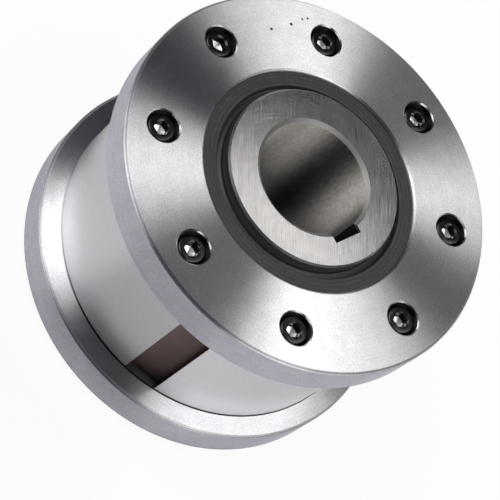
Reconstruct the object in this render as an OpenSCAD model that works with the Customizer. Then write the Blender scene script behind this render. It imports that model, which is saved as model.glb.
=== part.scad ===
// Roller overrunning clutch that carries its own bearings.
// The inner ring is keyed to a shaft. The outer ring carries a wheel or half a coupling on its
// keyed outside, between two bolted flanges.
// Seen from the front (+Z), the outer ring runs free anticlockwise. Turned clockwise, it pulls the
// rollers down their ramps until they wedge, and it drives the inner ring.
// +Z is the shaft axis. The part stands on the rear face of the inner ring, at Z = 0.

/* [Inner ring] */
// Diameter of the shaft bore
bore_d = 50; // [40:1:60]
// Chamfer at each end of the shaft bore
bore_edge = 1.7; // [0.5:0.1:2.5]
// Width of the keyway in the shaft bore
bore_key_w = 14; // [8:1:18]
// Depth of that keyway, from the crown of the bore
bore_key_depth = 3.8; // [2.5:0.1:5]
// Angle of that keyway, from +X
bore_key_angle = 242; // [180:1:300]
// Diameter of the journals under the bearings and seals
journal_d = 80; // [78:0.5:82]
// Chamfer at the ends of the inner ring
journal_edge = 0.8; // [0.3:0.1:1.5]
// Length of the inner ring
inner_len = 110; // [107:0.5:114]

/* [Outer ring] */
// Outside diameter of the outer ring, where a wheel seats
ring_d = 150; // [147:1:153]
// Length of the outer ring
ring_len = 66.5; // [62:0.5:76]
// Chamfer at the ends of the bearing seats inside
track_edge = 0.6; // [0.3:0.1:1]
// Width of the keyway in the outside of the outer ring
ring_key_w = 16; // [10:1:20]
// Depth of that keyway, from the crown of the ring
ring_key_depth = 3.8; // [2:0.1:5]

/* [Flanges] */
// Diameter of both flanges
flange_d = 170; // [164:1:180]
// Thickness of each flange
flange_t = 18.5; // [17.5:0.5:22]
// Chamfer on the rim of each flange
flange_edge = 1.2; // [0.5:0.1:2.5]
// Length of the spigot that enters the outer ring
spigot_len = 2; // [1:0.5:3]
// Radial thickness of the spigot
spigot_wall = 3.4; // [2:0.1:4]
// Thickness of each gasket
gasket_t = 0.5; // [0.3:0.1:1]

/* [Flange screws] */
// Screws in each flange
screw_n = 8; // [6:1:10]
// Diameter of the screw circle
screw_pcd = 137; // [134:0.5:140]
// Angle from +X to the first screw
screw_angle = 22.5; // [18:0.1:27]
// Thread diameter
screw_d = 8; // [6:1:8]
// Length under the head
screw_len = 25; // [20:1:28]
// Diameter of the head
head_d = 13; // [11:0.5:13.5]
// Height of the head
head_h = 8; // [6:0.5:8.5]
// Width across the flats of the socket
socket_w = 6; // [5:1:7]
// Depth of the socket
socket_depth = 4; // [3:0.5:5]
// Diameter of the counterbore for the head
counterbore_d = 14.5; // [14:0.1:15.5]
// Depth of the head below the face of the flange
head_sink = 1.5; // [0.5:0.1:2]

/* [Shaft seals] */
// Height of the seals, from the journal to their pocket
seal_h = 10; // [9:0.5:11]
// Width of the seals
seal_w = 10; // [9.5:0.5:12]
// Depth of the seal below the face of the flange
seal_sink = 1.3; // [0.5:0.1:2]
// Chamfer round the seal pocket
pocket_edge = 0.75; // [0.3:0.05:1]

/* [Bearings] */
// Height of each ball bearing, from the journal to its seat beside the roller track
bearing_h = 15; // [14:0.5:16]
// Width of each ball bearing
bearing_w = 16; // [14:0.5:17]
// Ball diameter
ball_d = 9; // [8:0.5:9.5]
// Balls in each bearing
ball_n = 18; // [14:1:20]
// Thickness of the retaining rings
circlip_t = 2.5; // [2:0.1:3]

/* [Rollers] */
// Roller diameter
roller_d = 14; // [13:0.2:14.6]
// Angle between the ramp and the track at the roller
nip_angle = 7; // [5:0.5:9]
// Diameter of the sprung plungers
plunger_d = 7; // [6:0.1:7.4]
// Length of the plungers
plunger_len = 9; // [7:0.5:10]
// Travel of each plunger
plunger_travel = 1; // [0.5:0.1:1.5]
// Wire diameter of the plunger springs
spring_wire = 0.7; // [0.5:0.05:0.9]

/* [Hidden] */
$fn = 128;
roller_n = 8;

// Clearances
seat_gap = 0.02;      // pressed and bonded seats
spigot_gap = 0.05;    // flange spigot in the outer ring
thread_gap = 0.05;    // screw in its tapped hole
screw_gap = 0.5;      // screw in the flange and the gasket
lip_gap = 0.1;        // seal lips on the journal
race_gap = 0.15;      // ball in its grooves and its pocket
roller_gap = 0.1;     // roller against track, ramp and plunger
plunger_gap = 0.05;   // plunger in its bore
side_gap = 0.75;      // star and rollers beside the outer races
star_gap = 1;         // star inside the track
roller_play = 1;      // rollers endwise
pocket_gap = 1.7;     // star in front of a roller
coil_gap = 0.2;       // plunger spring inside its plunger
coil_end_gap = 0.1;   // plunger spring at its ends
groove_play = 0.1;    // retaining ring in its groove
cut_over = 1;         // how far a cut runs past a face

// Radii
bore_r = bore_d / 2;
journal_r = journal_d / 2;
ring_r = ring_d / 2;
track_r = journal_r + bearing_h;
flange_r = flange_d / 2;
seal_r = journal_r + seal_h;
star_r = track_r - star_gap;
spigot_r = track_r - spigot_gap;
roller_r = roller_d / 2;
ball_r = ball_d / 2;

// Places along the axis, measured out from the middle of the clutch
mid_z = inner_len / 2;
ring_end = ring_len / 2;
race_end = ring_end - spigot_len;
star_end = race_end - bearing_w;
flange_in = ring_end + gasket_t;
flange_out = flange_in + flange_t;
seal_out = flange_out - seal_sink;
seal_in = seal_out - seal_w;
head_seat = flange_out - head_sink - head_h;
web_relief = 1.2;
web_in = flange_in + web_relief;

// Flange and screw details
seal_step = 3.5;
web_r = seal_r - seal_step;
spigot_in_r = spigot_r - spigot_wall;
counterbore_edge = 0.5;
head_edge = 0.9;
screw_edge = 1;
tap_spare = 3;
tap_end = head_seat - screw_len - tap_spare;
ring_edge = 0.3;

// Shaft seal, in radii from the journal and depths from its outer face
seal_round = 0.4;
seal_case = 2.5;
seal_web = 3.2;
face_in_r = journal_r + 3.5;
throat_r = journal_r + 2.9;
throat_depth = 2.6;
dust_tip_r = journal_r + 0.8;
dust_tip_depth = 1.8;
lip_r = journal_r + lip_gap;
dust_lip_depth = 2.3;
dust_back_depth = 2.9;
waist_r = journal_r + 2.2;
waist_top_depth = 3.6;
waist_low_depth = 4.6;
lip_root_r = journal_r + 5;
lip_back_r = journal_r + 4.6;
lip_back_depth = 5.6;
lip_depth = 7.2;
lip_end_r = journal_r + 3;
lip_end_depth = seal_w - 0.7;
garter_r = 1;
garter_centre_r = journal_r + 4.1;

// Bearing details
pitch_r = (journal_r + track_r) / 2;
groove_r = ball_r + race_gap;
groove_depth = 2;
land_offset = ball_r - groove_depth;
cage_wall = 3;
cage_rail = 1.5;
cage_w = ball_d + 2 * cage_rail;
race_edge = 0.6;

// Retaining ring details
circlip_depth = 1.75;
circlip_in_r = journal_r - circlip_depth + groove_play;
circlip_width = 6.5;
circlip_out_r = circlip_in_r + circlip_width;
circlip_mouth = 12;
lug_r = 4;
lug_hole_r = 1.5;
lug_inset = 1;
lug_centre_r = circlip_out_r - lug_inset;
lug_angle = asin((circlip_mouth / 2 + lug_r) / lug_centre_r);

// Roller stations. In each, +X points out from the axis through the middle of the ramp, and -Y is
// the way in which the rollers wedge.
roller_orbit = track_r - roller_r - roller_gap;
roller_x = roller_orbit * cos(nip_angle);
roller_y = -roller_orbit * sin(nip_angle);
ramp_x = roller_x - roller_r - roller_gap;
roller_len = 2 * (star_end - side_gap) - roller_play;
roller_edge = 0.5;
plunger_drop = 1.5;
plunger_x = roller_x - plunger_drop;
plunger_y = roller_y + roller_r + roller_gap;
plunger_rim = 1.6;
plunger_edge = 0.4;
plunger_floor = 3;
plunger_wall = 1.1;
plunger_room = 6;
cup_r = plunger_d / 2 - plunger_wall;
pocket_back = plunger_y + plunger_travel + plunger_rim;
pocket_front = roller_y - roller_r - pocket_gap;
plunger_bore_end = plunger_y + plunger_len + plunger_room;
shoulder_h = 5;
shoulder_r = journal_r + shoulder_h;
spring_outer_r = cup_r - coil_gap;
spring_start = plunger_y + plunger_floor + coil_end_gap;
spring_len = plunger_bore_end - coil_end_gap - spring_start;
spring_turns = 6;
coil_steps = 8;
coil_sides = 6;

// A profile and its mirror image across the middle of the clutch, as one outline
function both_ends(points) =
    concat(points, [for (i = [len(points) - 1 : -1 : 0]) [points[i][0], -points[i][1]]]);

// Draws its children outwards from the middle of the clutch, to the front or to the rear
module at_end(front) {
    translate([0, 0, mid_z])
        mirror([0, 0, front ? 0 : 1])
            children();
}

// Places its children at one roller station
module at_station(k) {
    translate([0, 0, mid_z])
        rotate([0, 0, (k - 1) * 360 / roller_n])
            children();
}

module around_screw_circle() {
    for (i = [0 : screw_n - 1])
        rotate([0, 0, screw_angle + i * 360 / screw_n])
            translate([screw_pcd / 2, 0, 0])
                children();
}

module around_balls() {
    for (i = [0 : ball_n - 1])
        rotate([0, 0, i * 360 / ball_n])
            children();
}

module tube(outer_r, inner_r, z_from, z_to) {
    translate([0, 0, z_from])
        difference() {
            cylinder(r = outer_r, h = z_to - z_from);
            translate([0, 0, -cut_over])
                cylinder(r = inner_r, h = z_to - z_from + 2 * cut_over);
        }
}

// The driven ring: two journals, and between them a star with a ramp under each roller
module inner_ring() {
    profile = [
        [bore_r, mid_z - bore_edge],
        [bore_r + bore_edge, mid_z],
        [journal_r - journal_edge, mid_z],
        [journal_r, mid_z - journal_edge],
        [journal_r, race_end + circlip_t + groove_play],
        [journal_r - circlip_depth, race_end + circlip_t + groove_play],
        [journal_r - circlip_depth, race_end],
        [journal_r, race_end],
        [journal_r, star_end],
        [shoulder_r, star_end],
        [shoulder_r, star_end - side_gap],
        [star_r, star_end - side_gap]
    ];
    color("gainsboro")
        difference() {
            translate([0, 0, mid_z])
                rotate_extrude()
                    polygon(both_ends(profile));
            bore_keyway();
            for (k = [1 : roller_n])
                at_station(k)
                    roller_pocket();
        }
}

module bore_keyway() {
    rotate([0, 0, bore_key_angle])
        translate([0, -bore_key_w / 2, -cut_over])
            cube([bore_r + bore_key_depth, bore_key_w, inner_len + 2 * cut_over]);
}

module roller_pocket() {
    translate([ramp_x, pocket_front, -star_end])
        cube([star_r, pocket_back - pocket_front, 2 * star_end]);
    translate([plunger_x, pocket_back - cut_over, 0])
        rotate([-90, 0, 0])
            cylinder(r = plunger_d / 2 + plunger_gap, h = plunger_bore_end - pocket_back + cut_over);
}

// The driving ring: roller track and bearing seats inside, keyed seat outside, tapped ends
module outer_ring() {
    profile = [
        [track_r, ring_end - track_edge],
        [track_r + track_edge, ring_end],
        [ring_r - ring_edge, ring_end],
        [ring_r, ring_end - ring_edge]
    ];
    color("lightgray")
        difference() {
            translate([0, 0, mid_z])
                rotate_extrude()
                    polygon(both_ends(profile));
            translate([-ring_r - cut_over, -ring_key_w / 2, mid_z - ring_end - cut_over])
                cube([ring_key_depth + cut_over, ring_key_w, ring_len + 2 * cut_over]);
            for (front = [true, false])
                at_end(front)
                    around_screw_circle()
                        translate([0, 0, tap_end])
                            cylinder(r = screw_d / 2 + thread_gap, h = ring_end - tap_end + cut_over);
        }
}

module flange(front) {
    profile = [
        [web_r, web_in],
        [web_r, seal_in],
        [seal_r + seat_gap, seal_in],
        [seal_r + seat_gap, flange_out - pocket_edge],
        [seal_r + seat_gap + pocket_edge, flange_out],
        [flange_r - flange_edge, flange_out],
        [flange_r, flange_out - flange_edge],
        [flange_r, flange_in + flange_edge],
        [flange_r - flange_edge, flange_in],
        [spigot_r, flange_in],
        [spigot_r, race_end],
        [spigot_in_r, race_end],
        [spigot_in_r, web_in]
    ];
    color("silver")
        at_end(front)
            difference() {
                rotate_extrude()
                    polygon(profile);
                around_screw_circle()
                    screw_hole();
            }
}

module screw_hole() {
    translate([0, 0, flange_in - cut_over])
        cylinder(r = screw_d / 2 + screw_gap, h = flange_t + 2 * cut_over);
    translate([0, 0, head_seat])
        cylinder(d = counterbore_d, h = flange_out - head_seat + cut_over);
    translate([0, 0, flange_out - counterbore_edge])
        cylinder(
            r1 = counterbore_d / 2,
            r2 = counterbore_d / 2 + counterbore_edge + cut_over,
            h = counterbore_edge + cut_over
        );
}

module gasket(front) {
    color("dimgray")
        at_end(front)
            difference() {
                tube(ring_r - ring_edge, track_r + track_edge, ring_end, flange_in);
                around_screw_circle()
                    translate([0, 0, ring_end - cut_over])
                        cylinder(r = screw_d / 2 + screw_gap, h = gasket_t + 2 * cut_over);
            }
}

module flange_screws(front) {
    color("#2b2b2e")
        at_end(front)
            around_screw_circle()
                translate([0, 0, head_seat])
                    socket_screw();
}

// A socket head screw that stands on its seat at Z = 0, with its thread below
module socket_screw() {
    screw_r = screw_d / 2;
    head_r = head_d / 2;
    difference() {
        rotate_extrude()
            polygon([
                [0, -screw_len],
                [screw_r - screw_edge, -screw_len],
                [screw_r, screw_edge - screw_len],
                [screw_r, 0],
                [head_r, 0],
                [head_r, head_h - head_edge],
                [head_r - head_edge, head_h],
                [0, head_h]
            ]);
        translate([0, 0, head_h - socket_depth])
            cylinder(d = socket_w / cos(30), h = socket_depth + cut_over, $fn = 6);
    }
}

// Rubber seal: a case pressed into the flange, a sealing lip and a dust lip on the journal
module shaft_seal(front) {
    // Each point is a radius and a depth from the outer face
    outline = [
        [face_in_r, 0],
        [seal_r - seal_round, 0],
        [seal_r, seal_round],
        [seal_r, seal_w - seal_round],
        [seal_r - seal_round, seal_w],
        [seal_r - seal_case, seal_w],
        [seal_r - seal_case, seal_web],
        [lip_root_r, seal_web],
        [lip_back_r, lip_back_depth],
        [lip_end_r, lip_end_depth],
        [waist_r, lip_end_depth],
        [lip_r, lip_depth],
        [waist_r, waist_low_depth],
        [waist_r, waist_top_depth],
        [lip_r, dust_back_depth],
        [lip_r, dust_lip_depth],
        [dust_tip_r, dust_tip_depth],
        [throat_r, throat_depth]
    ];
    color("#3a3a3c")
        at_end(front)
            translate([0, 0, seal_out])
                mirror([0, 0, 1])
                    rotate_extrude()
                        difference() {
                            polygon(outline);
                            translate([garter_centre_r, lip_depth])
                                circle(r = garter_r + race_gap, $fn = 48);
                        }
}

// The coil that holds the sealing lip down, as a plain ring of its outer size
module seal_spring(front) {
    color("gray")
        at_end(front)
            translate([0, 0, seal_out - lip_depth])
                rotate_extrude()
                    translate([garter_centre_r, 0])
                        circle(r = garter_r, $fn = 48);
}

module retaining_ring(front) {
    color("#4a4a4e")
        at_end(front)
            translate([0, 0, race_end + groove_play / 2])
                linear_extrude(circlip_t)
                    difference() {
                        union() {
                            circle(r = circlip_out_r);
                            for (side = [-1, 1])
                                rotate(side * lug_angle)
                                    translate([lug_centre_r, 0])
                                        circle(r = lug_r, $fn = 48);
                        }
                        circle(r = circlip_in_r);
                        translate([0, -circlip_mouth / 2])
                            square([circlip_out_r + 2 * lug_r, circlip_mouth]);
                        for (side = [-1, 1])
                            rotate(side * lug_angle)
                                translate([lug_centre_r, 0])
                                    circle(r = lug_hole_r, $fn = 32);
                    }
}

// The space that the balls run in
module ball_groove() {
    translate([0, 0, star_end + bearing_w / 2])
        rotate_extrude()
            translate([pitch_r, 0])
                circle(r = groove_r, $fn = 64);
}

module bearing_outer_race(front) {
    seat_r = track_r - seat_gap;
    land_r = pitch_r + land_offset;
    color("darkgray")
        at_end(front)
            difference() {
                rotate_extrude()
                    polygon([
                        [land_r, star_end],
                        [seat_r - race_edge, star_end],
                        [seat_r, star_end + race_edge],
                        [seat_r, race_end - race_edge],
                        [seat_r - race_edge, race_end],
                        [land_r, race_end]
                    ]);
                ball_groove();
            }
}

module bearing_inner_race(front) {
    seat_r = journal_r + seat_gap;
    land_r = pitch_r - land_offset;
    color("darkgray")
        at_end(front)
            difference() {
                rotate_extrude()
                    polygon([
                        [land_r, star_end],
                        [seat_r + race_edge, star_end],
                        [seat_r, star_end + race_edge],
                        [seat_r, race_end - race_edge],
                        [seat_r + race_edge, race_end],
                        [land_r, race_end]
                    ]);
                ball_groove();
            }
}

module bearing_cage(front) {
    bearing_mid = star_end + bearing_w / 2;
    color("darkgoldenrod")
        at_end(front)
            difference() {
                tube(
                    pitch_r + cage_wall / 2,
                    pitch_r - cage_wall / 2,
                    bearing_mid - cage_w / 2,
                    bearing_mid + cage_w / 2
                );
                around_balls()
                    translate([pitch_r - cage_wall, 0, bearing_mid])
                        rotate([0, 90, 0])
                            cylinder(r = groove_r, h = 2 * cage_wall, $fn = 64);
            }
}

module bearing_balls(front) {
    color("whitesmoke")
        at_end(front)
            around_balls()
                translate([pitch_r, 0, star_end + bearing_w / 2])
                    sphere(r = ball_r, $fn = 48);
}

module roller(k) {
    color("whitesmoke")
        at_station(k)
            translate([roller_x, roller_y, -roller_len / 2])
                rotate_extrude()
                    polygon([
                        [0, 0],
                        [roller_r - roller_edge, 0],
                        [roller_r, roller_edge],
                        [roller_r, roller_len - roller_edge],
                        [roller_r - roller_edge, roller_len],
                        [0, roller_len]
                    ]);
}

// A cup that slides in the star, closed towards its roller and open towards its spring
module plunger(k) {
    plunger_r = plunger_d / 2;
    color("dimgray")
        at_station(k)
            translate([plunger_x, plunger_y, 0])
                rotate([-90, 0, 0])
                    rotate_extrude()
                        polygon([
                            [0, 0],
                            [plunger_r - plunger_edge, 0],
                            [plunger_r, plunger_edge],
                            [plunger_r, plunger_len],
                            [cup_r, plunger_len],
                            [cup_r, plunger_floor],
                            [0, plunger_floor]
                        ]);
}

// An open coil along +Z, swept as a wire with flat sides
module coil(mean_r, wire_r, turns, length) {
    steps = turns * coil_steps;
    points = [
        for (i = [0 : steps], j = [0 : coil_sides - 1])
            let (
                turn = i * 360 / coil_steps,
                side = j * 360 / coil_sides,
                r = mean_r + wire_r * cos(side)
            )
            [r * cos(turn), r * sin(turn), i * length / steps + wire_r * sin(side)]
    ];
    walls = [
        for (i = [0 : steps - 1], j = [0 : coil_sides - 1])
            let (
                here = i * coil_sides,
                ahead = here + coil_sides,
                next = (j + 1) % coil_sides
            )
            each [
                [here + j, here + next, ahead + next],
                [here + j, ahead + next, ahead + j]
            ]
    ];
    first_end = [for (j = [coil_sides - 1 : -1 : 0]) j];
    last_end = [for (j = [0 : coil_sides - 1]) steps * coil_sides + j];
    polyhedron(points, concat(walls, [first_end, last_end]));
}

module plunger_spring(k) {
    wire_r = spring_wire / 2;
    color("steelblue")
        at_station(k)
            translate([plunger_x, spring_start + wire_r, 0])
                rotate([-90, 0, 0])
                    coil(spring_outer_r - wire_r, wire_r, spring_turns, spring_len - spring_wire);
}

inner_ring();
outer_ring();
flange(true);  // front_flange
flange(false);  // rear_flange
gasket(true);  // front_gasket
gasket(false);  // rear_gasket
flange_screws(true);  // front_flange_screws
flange_screws(false);  // rear_flange_screws
shaft_seal(true);  // front_shaft_seal
shaft_seal(false);  // rear_shaft_seal
seal_spring(true);  // front_seal_spring
seal_spring(false);  // rear_seal_spring
retaining_ring(true);  // front_retaining_ring
retaining_ring(false);  // rear_retaining_ring
bearing_outer_race(true);  // front_bearing_outer_race
bearing_outer_race(false);  // rear_bearing_outer_race
bearing_inner_race(true);  // front_bearing_inner_race
bearing_inner_race(false);  // rear_bearing_inner_race
bearing_cage(true);  // front_bearing_cage
bearing_cage(false);  // rear_bearing_cage
bearing_balls(true);  // front_bearing_balls
bearing_balls(false);  // rear_bearing_balls
for (k = [1 : roller_n]) {
    roller(k);
    plunger(k);
    plunger_spring(k);
}
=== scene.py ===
"""Finishes, detailed small pieces, studio and camera for a roller overrunning clutch.

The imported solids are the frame. Their shapes stay, and get their metal, rubber and fibre
finishes here. The socket screws, the coil springs and the shaft seals are made in more detail
and take the place of the plain ones.
"""

import math

import bpy
from mathutils import Matrix, Vector


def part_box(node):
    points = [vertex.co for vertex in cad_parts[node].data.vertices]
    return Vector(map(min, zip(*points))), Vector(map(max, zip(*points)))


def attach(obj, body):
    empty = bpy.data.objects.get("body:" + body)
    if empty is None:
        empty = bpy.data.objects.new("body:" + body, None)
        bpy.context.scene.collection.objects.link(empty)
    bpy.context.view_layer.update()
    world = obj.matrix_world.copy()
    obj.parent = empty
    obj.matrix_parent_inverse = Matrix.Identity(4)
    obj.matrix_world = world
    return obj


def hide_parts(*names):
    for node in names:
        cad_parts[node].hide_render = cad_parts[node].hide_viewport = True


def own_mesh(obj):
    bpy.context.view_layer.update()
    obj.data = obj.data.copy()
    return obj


bl_info = {
    "name": "Overrunning clutch",
    "version": (1, 0, 0),
    "blender": (4, 5, 0),
    "location": "3D View > Sidebar > Clutch",
    "description": "Dresses the solids of a roller overrunning clutch and lights it",
    "category": "Object",
}

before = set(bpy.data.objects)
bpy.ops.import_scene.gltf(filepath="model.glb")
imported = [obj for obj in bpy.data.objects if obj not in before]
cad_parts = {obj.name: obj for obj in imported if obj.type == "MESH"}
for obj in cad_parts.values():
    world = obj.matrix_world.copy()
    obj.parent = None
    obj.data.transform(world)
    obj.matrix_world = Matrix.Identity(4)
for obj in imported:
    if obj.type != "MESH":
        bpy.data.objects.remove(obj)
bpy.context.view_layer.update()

MM = 0.001
TURN = 2 * math.pi
ROLLER_COUNT = 8
ENDS = ("front", "rear")
OUTER_BODY = "outer_ring_assembly"


def box_radius(node):
    """Outside radius of a round CAD node about the shaft axis."""
    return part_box(node)[1].x


# Radii about the shaft axis
FLANGE_R = box_radius("front_flange")
RING_R = box_radius("outer_ring")
SEAL_R = box_radius("front_shaft_seal")
JOURNAL_R = 40 * MM
BORE_R = 25 * MM

# Heights on the shaft axis, which runs from 0 to the hub's top
HUB_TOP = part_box("inner_ring")[1].z
FLANGE_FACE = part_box("front_flange")[1].z
SCREW_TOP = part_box("front_flange_screws")[1].z
SEAL_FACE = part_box("front_shaft_seal")[1].z
GARTER_Z = sum(corner.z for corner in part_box("front_seal_spring")) / 2
MID_Z = HUB_TOP / 2

# Heights from the middle, the same at both ends
FACE_HEIGHT = FLANGE_FACE - MID_Z
SEAM_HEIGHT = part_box("front_gasket")[1].z - MID_Z

# The flanges' screw holes reach over these radii, and are dark over these depths
HOLE_RADII = (58 * MM, 79 * MM)
HOLE_DEPTHS = (0.55 * MM, 14 * MM)
# Width at the edge of a flange's rim that carries a painted dark reflection
RIM_EDGE = 1 * MM
# The keyway outside the outer ring
KEYWAY_WIDTH = 16 * MM
KEYWAY_DEPTH = 5 * MM

# Way in which the hub's face was ground, and the point that its curved scratches go round
GRIND = Vector((math.cos(math.radians(28)), math.sin(math.radians(28))))
SCRATCH_CENTRE = (-10 * MM, 6 * MM)
# Side on which painted shade darkens the seams between the outer ring and the flanges
SEAM_SHADE_SIDE = (-0.82, -0.57, 0)
# Pits in the front face: radius in mm, angle in degrees, size in mm
PITS = ((69, 45, 0.75), (72, 36.5, 0.8), (75.5, 32, 0.6), (76.5, 30, 0.6))

# Colours of small places
SHADOW_GREY = 0.045
# Painted dark reflections on the rims' chamfers and painted shade at the rear rim's foot
PAINTED_DARK_GREY = 0.03
CHAMFER_STEEL = (0.50, 0.49, 0.48)
RECESS_BROWN = (0.10, 0.092, 0.088)
DUST_GREY = 0.16
WORN_GREY = 0.20
SOCKET_GREY = 0.60
PHOSPHATE = (0.06, 0.06, 0.065)
CARD_WHITE = (1.0, 0.955, 0.92)

# Lamps: name, azimuth and elevation in degrees, distance, size in metres, power in watts
LAMPS = (
    ("side_lamp", 268.0, 60.5, 2.6, (2.9, 1.3), 48.0),
    ("top_lamp", 80.0, 58.0, 2.6, (1.7, 1.45), 42.0),
)
FLOOR_HALF = 4.0
FLOOR_Z = -0.2 * MM
FLOOR_WHITE = 0.94
# Edges of the shade in front of the clutch: how directly in front, then how far out
SHADE_FACING = (0.86, 0.96)
SHADE_STARTS = (0.09, 0.105)
SHADE_ENDS = (0.14, 0.18)
SHADED_FLOOR = 0.1

# Name of the tree that smooths the solids, and the gap under which it joins their corners
SMOOTHING = "Joined and smooth"
SAME_PLACE = 0.001 * MM
# Angle from which an edge is drawn sharp
SHARP_EDGE = math.radians(28)
SHARP_THREAD = math.radians(32)


# Node graphs, for materials and for geometry


class Wire:
    """An output of a node. Sums, products and comparisons of wires add Math nodes."""

    def __init__(self, graph, socket):
        self.graph = graph
        self.socket = socket

    def output(self, key):
        """Another output of the same node."""
        return Wire(self.graph, find_socket(self.socket.node.outputs, key))

    def maths(self, operation, first, second=0.0):
        sockets = {0: first, 1: second}
        return self.graph.node("ShaderNodeMath", {"operation": operation}, sockets)

    def __add__(self, other):
        return self.maths("ADD", self, other)

    def __radd__(self, other):
        return self.maths("ADD", other, self)

    def __sub__(self, other):
        return self.maths("SUBTRACT", self, other)

    def __rsub__(self, other):
        return self.maths("SUBTRACT", other, self)

    def __mul__(self, other):
        return self.maths("MULTIPLY", self, other)

    def __rmul__(self, other):
        return self.maths("MULTIPLY", other, self)

    def __truediv__(self, other):
        return self.maths("DIVIDE", self, other)

    def __gt__(self, other):
        return self.maths("GREATER_THAN", self, other)

    def __lt__(self, other):
        return self.maths("LESS_THAN", self, other)

    def __abs__(self):
        return self.maths("ABSOLUTE", self)


def find_socket(sockets, key):
    """A socket by its place, its identifier or its name."""
    if isinstance(key, int):
        return sockets[key]
    for socket in sockets:
        if socket.identifier == key:
            return socket
    return sockets[key]


class Graph:
    """The nodes of one material or one geometry tree."""

    def __init__(self, tree):
        self.tree = tree
        tree.nodes.clear()

    def node(self, kind, settings, sockets, output=0):
        """Adds a node with its settings, then the values and wires of its sockets."""
        made = self.tree.nodes.new(kind)
        for name, value in settings.items():
            setattr(made, name, value)
        for name, value in sockets.items():
            socket = find_socket(made.inputs, name)
            if isinstance(value, Wire):
                self.tree.links.new(value.socket, socket)
            else:
                socket.default_value = value
        if not made.outputs:
            return None
        return Wire(self, find_socket(made.outputs, output))

    def vector(self, x, y, z):
        return self.node("ShaderNodeCombineXYZ", {}, {0: x, 1: y, 2: z})

    def vector_maths(self, operation, first, second=(0, 0, 0), output=0):
        sockets = {0: first, 1: second}
        return self.node("ShaderNodeVectorMath", {"operation": operation}, sockets, output)

    def mix(self, factor, first, second):
        """The first colour where factor is 0, and the second where it is 1."""
        sockets = {"Factor_Float": factor, "A_Color": rgba(first), "B_Color": rgba(second)}
        return self.node("ShaderNodeMix", {"data_type": "RGBA"}, sockets, "Result_Color")

    def between(self, value, low, high):
        """Goes smoothly from 0 at low to 1 at high."""
        settings = {"interpolation_type": "SMOOTHSTEP"}
        sockets = {"Value": value, "From Min": low, "From Max": high}
        return self.node("ShaderNodeMapRange", settings, sockets, "Result")


def rgba(colour):
    """A colour or a grey level as four numbers."""
    if isinstance(colour, Wire):
        return colour
    if isinstance(colour, (int, float)):
        return (colour, colour, colour, 1.0)
    return (*colour[:3], 1.0)


class Finish(Graph):
    """A material for one finish, with the places on the part that its patterns follow."""

    def __init__(self, name):
        self.material = bpy.data.materials.new(name)
        self.material.use_nodes = True
        super().__init__(self.material.node_tree)
        self.point = self.node("ShaderNodeTexCoord", {}, {}, "Object")
        self.x = self.node("ShaderNodeSeparateXYZ", {}, {0: self.point})
        self.y = self.x.output(1)
        self.z = self.x.output(2)
        flat = self.vector_maths("MULTIPLY", self.point, (1, 1, 0))
        self.out = self.vector_maths("NORMALIZE", flat)
        self.radius = self.vector_maths("LENGTH", flat, output="Value")
        self.height = abs(self.z - MID_Z)

    def shade(self, colour, level):
        """A colour made lighter or darker by a number."""
        sockets = {"Factor_Float": 1.0, "A_Color": rgba(colour), "B_Color": level}
        settings = {"data_type": "RGBA", "blend_type": "MULTIPLY"}
        return self.node("ShaderNodeMix", settings, sockets, "Result_Color")

    def span(self, value, low, high):
        """1 from low to high, and 0 outside."""
        return (value > low) * (value < high)

    def spread(self, value, low, high):
        """Takes a pattern from 0 to 1 to the numbers from low to high."""
        sockets = {"Value": value, "To Min": low, "To Max": high}
        return self.node("ShaderNodeMapRange", {}, sockets, "Result")

    def noise(self, where, scale=1.0, detail=3.0, roughness=0.6):
        sockets = {"Vector": where, "Scale": scale, "Detail": detail, "Roughness": roughness}
        return self.node("ShaderNodeTexNoise", {}, sockets)

    def rings(self, pitch, streak=3.0):
        """Fine rings round the shaft axis, in streaks along each ring."""
        around = self.vector_maths("MULTIPLY", self.out, (streak, streak, 0))
        across = self.vector(0.0, 0.0, (self.radius + self.z) / pitch)
        return self.noise(self.vector_maths("ADD", around, across))

    def pits(self):
        """Small dark pits at the places in PITS, and 0 elsewhere."""
        edge = self.noise(self.point, 900.0, detail=2.0, roughness=0.5)
        total = 0.0
        for radius, angle, size in PITS:
            turn = math.radians(angle)
            spot = (radius * math.cos(turn) * MM, radius * math.sin(turn) * MM, FLANGE_FACE)
            gap = self.vector_maths("DISTANCE", self.point, spot, output="Value")
            ragged = gap + edge * 0.4 * MM
            total = total + self.between(ragged, (size + 0.25) * MM, size * MM)
        return total

    def bump(self, height, depth, strength):
        sockets = {"Height": height, "Distance": depth, "Strength": strength}
        return self.node("ShaderNodeBump", {}, sockets, "Normal")

    def shader(self, **sockets):
        """The Principled shader, with names of sockets written with underscores."""
        named = {name.replace("_", " "): value for name, value in sockets.items()}
        return self.node("ShaderNodeBsdfPrincipled", {}, named)

    def finished(self, shader):
        self.node("ShaderNodeOutputMaterial", {}, {"Surface": shader})
        return self.material

    def surface(self, **sockets):
        return self.finished(self.shader(**sockets))


def chosen(name):
    """A colour from the panel's settings."""
    return getattr(bpy.context.scene.clutch_finish, name)


# Finishes


def screw_holes(steel):
    """The walls of the flanges' screw holes, which are in shadow."""
    top, bottom = (FACE_HEIGHT - depth for depth in HOLE_DEPTHS)
    return steel.span(steel.radius, *HOLE_RADII) * steel.span(steel.height, bottom, top)


def ring_seam_shade(steel):
    """The seam where a flange meets the outer ring, painted dark as shade on one side only."""
    seam = steel.span(steel.radius, RING_R - 1 * MM, RING_R + 0.4 * MM)
    seam = seam * (steel.height < SEAM_HEIGHT + 0.1 * MM)
    facing = steel.vector_maths("DOT_PRODUCT", steel.out, SEAM_SHADE_SIDE, output="Value")
    return seam * steel.between(facing, 0.0, 0.5)


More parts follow.
